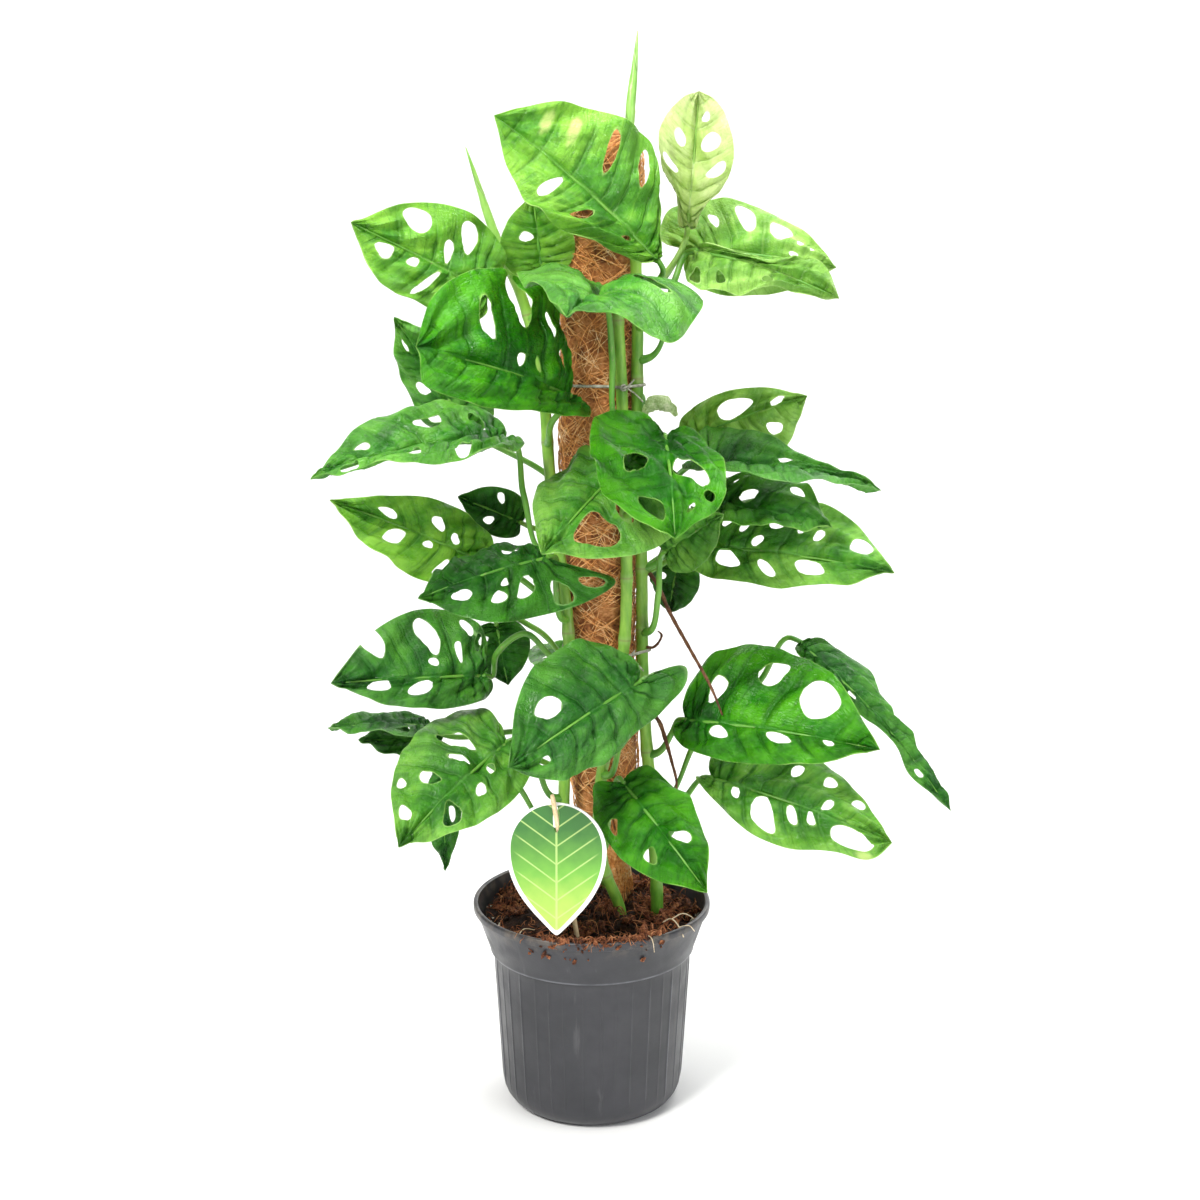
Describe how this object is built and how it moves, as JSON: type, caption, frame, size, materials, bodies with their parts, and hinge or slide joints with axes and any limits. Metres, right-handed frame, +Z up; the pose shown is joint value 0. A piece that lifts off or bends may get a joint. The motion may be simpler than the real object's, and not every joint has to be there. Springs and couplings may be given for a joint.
{
  "type": "potted monstera adansonii on a coir pole",
  "caption": "Climbing aroid with oval holed leaves on a coir-wrapped pole, planted in a round ribbed plastic nursery pot with a plant label.",
  "frame": {"origin": "middle of the pot's underside, in the plane it stands on", "axes": "+Z up along the pole, -Y towards the front with the label, +X to the right seen from the front"},
  "size_m": [0.4314, 0.3285, 0.7531],
  "materials": {
    "pot_plastic": "satin moulded plastic, dark grey",
    "soil": "damp bark and coir potting mix",
    "stake_wood": "rough round stake",
    "coir": "matted brown coconut fibre",
    "twine": "thin twisted twine",
    "label_wood": "plain pale stick",
    "label_card": "printed card with a white border",
    "stem": "smooth green stem",
    "new_leaf": "pale rolled leaf",
    "aerial_root": "dry brown root",
    "leaf": "glossy quilted leaf, paler below"
  },
  "bodies": {
    "root": {"pot": "pot_plastic", "soil": "soil", "stake": "stake_wood", "coir_wrap": "coir", "tie_upper": "twine", "tie_lower": "twine", "label_stick": "label_wood", "label_card": "label_card", "stem_right": "stem", "stem_front": "stem", "stem_left": "stem", "stem_back": "stem", "new_leaf_top": "new_leaf", "new_leaf_left": "new_leaf", "aerial_root_long": "aerial_root", "aerial_root_low": "aerial_root", "aerial_root_curled": "aerial_root", "dry_sheath": "aerial_root", "leaf_crown_front": "leaf", "leaf_crown_young": "leaf", "leaf_crown_right_back": "leaf", "leaf_crown_right_front": "leaf", "leaf_crown_left": "leaf", "leaf_crown_inner": "leaf", "leaf_upper_left": "leaf", "leaf_pole_front": "leaf", "leaf_upper_left_back": "leaf", "leaf_mid_left_long": "leaf", "leaf_mid_left_low": "leaf", "leaf_mid_left_small": "leaf", "leaf_mid_left_shade": "leaf", "leaf_low_left_split": "leaf", "leaf_low_left_dark": "leaf", "leaf_low_left_edge": "leaf", "leaf_low_left_small": "leaf", "leaf_low_left": "leaf", "leaf_low_front": "leaf", "leaf_low_right_front": "leaf", "leaf_mid_front_round": "leaf", "leaf_mid_front_left": "leaf", "leaf_mid_front_small": "leaf", "leaf_mid_right_top": "leaf", "leaf_mid_right_flat": "leaf", "leaf_mid_right_bright": "leaf", "leaf_mid_right_long": "leaf", "leaf_mid_right_back": "leaf", "leaf_low_right": "leaf", "leaf_low_right_folded": "leaf", "leaf_low_right_under": "leaf", "leaf_low_left_hanging": "leaf", "leaf_back_top": "leaf", "leaf_back_mid": "leaf", "leaf_back_low": "leaf"}
  },
  "joints": []
}
